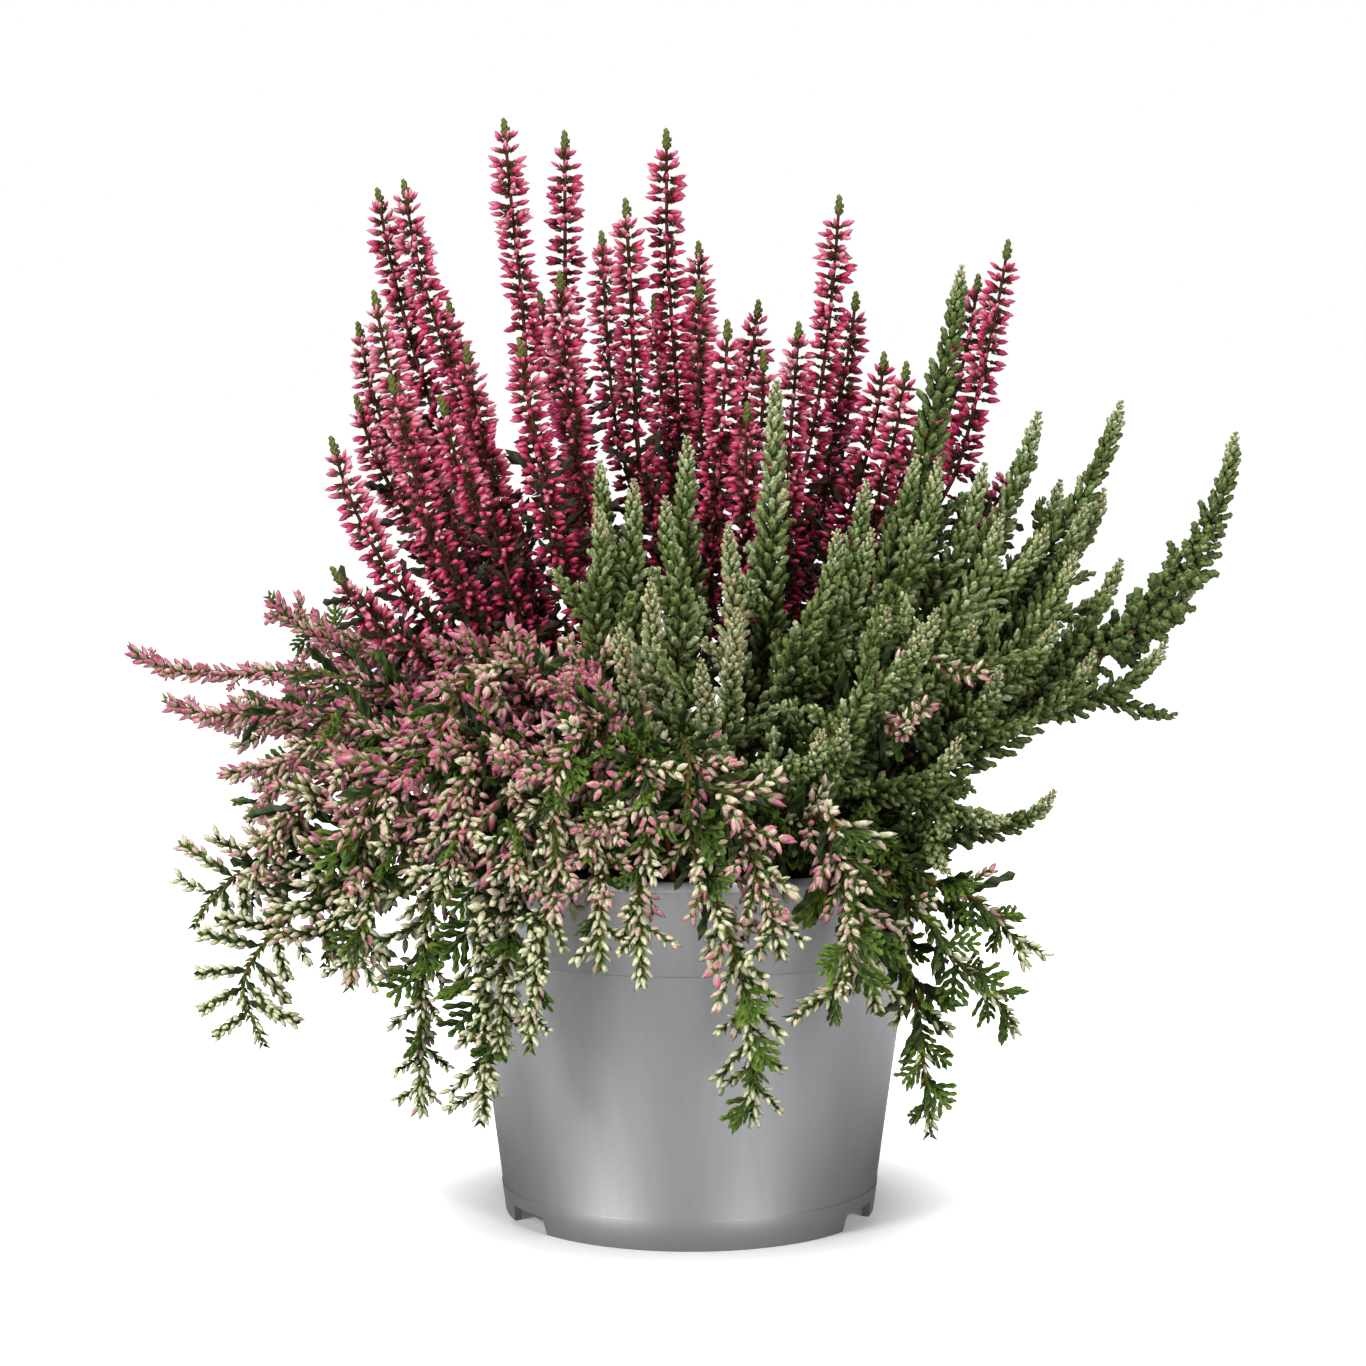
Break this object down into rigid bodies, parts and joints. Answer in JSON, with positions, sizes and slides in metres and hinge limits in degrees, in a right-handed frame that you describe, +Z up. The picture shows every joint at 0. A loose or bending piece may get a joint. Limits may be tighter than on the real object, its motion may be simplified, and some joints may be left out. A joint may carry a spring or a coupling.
{
  "type": "potted heather",
  "caption": "Bushy mixed heather in a plain grey tapered plastic pot: upright crimson bud spikes, grey-green leafy stems and pink and white trailing sprays.",
  "frame": {"origin": "the point on the surface under the middle of the plant and pot, at the middle of the pot's base", "axes": "+Z up along the pot's axis, -Y towards the front of the picture, +X to its right"},
  "size_m": [0.3234, 0.2141, 0.3231],
  "materials": {
    "pot_plastic": "satin silver-grey thin polypropylene",
    "peat": "dark fibrous potting peat",
    "crimson_heather": "closed crimson buds with pale tips on thin red-brown stems",
    "grey_green_heather": "grey-green scale leaves with pale edges on red-brown stems",
    "pink_white_heather": "cream-white and pink buds with fresh green scale leaves"
  },
  "bodies": {
    "root": {"pot": "pot_plastic", "peat": "peat", "crimson_spike_01": "crimson_heather", "crimson_spike_02": "crimson_heather", "crimson_spike_03": "crimson_heather", "crimson_spike_04": "crimson_heather", "crimson_spike_05": "crimson_heather", "crimson_spike_06": "crimson_heather", "crimson_spike_07": "crimson_heather", "crimson_spike_08": "crimson_heather", "crimson_spike_09": "crimson_heather", "crimson_spike_10": "crimson_heather", "crimson_spike_11": "crimson_heather", "crimson_spike_12": "crimson_heather", "crimson_spike_13": "crimson_heather", "crimson_spike_14": "crimson_heather", "crimson_spike_15": "crimson_heather", "crimson_spike_16": "crimson_heather", "crimson_spike_17": "crimson_heather", "crimson_spike_18": "crimson_heather", "grey_green_stem_01": "grey_green_heather", "grey_green_stem_02": "grey_green_heather", "grey_green_stem_03": "grey_green_heather", "grey_green_stem_04": "grey_green_heather", "grey_green_stem_05": "grey_green_heather", "grey_green_stem_06": "grey_green_heather", "grey_green_stem_07": "grey_green_heather", "grey_green_stem_08": "grey_green_heather", "grey_green_stem_09": "grey_green_heather", "grey_green_stem_10": "grey_green_heather", "grey_green_stem_11": "grey_green_heather", "grey_green_stem_12": "grey_green_heather", "grey_green_stem_13": "grey_green_heather", "grey_green_stem_14": "grey_green_heather", "grey_green_stem_15": "grey_green_heather", "grey_green_stem_16": "grey_green_heather", "grey_green_stem_17": "grey_green_heather", "grey_green_stem_18": "grey_green_heather", "grey_green_stem_19": "grey_green_heather", "grey_green_stem_20": "grey_green_heather", "grey_green_stem_21": "grey_green_heather", "pink_white_spray_01": "pink_white_heather", "pink_white_spray_02": "pink_white_heather", "pink_white_spray_03": "pink_white_heather", "pink_white_spray_04": "pink_white_heather", "pink_white_spray_05": "pink_white_heather", "pink_white_spray_06": "pink_white_heather", "pink_white_spray_07": "pink_white_heather", "pink_white_spray_08": "pink_white_heather", "pink_white_spray_09": "pink_white_heather", "pink_white_spray_10": "pink_white_heather", "pink_white_spray_11": "pink_white_heather", "pink_white_spray_12": "pink_white_heather", "pink_white_spray_13": "pink_white_heather", "pink_white_spray_14": "pink_white_heather", "pink_white_spray_15": "pink_white_heather", "pink_white_spray_16": "pink_white_heather", "pink_white_spray_17": "pink_white_heather", "pink_white_spray_18": "pink_white_heather", "pink_white_spray_19": "pink_white_heather"}
  },
  "joints": []
}
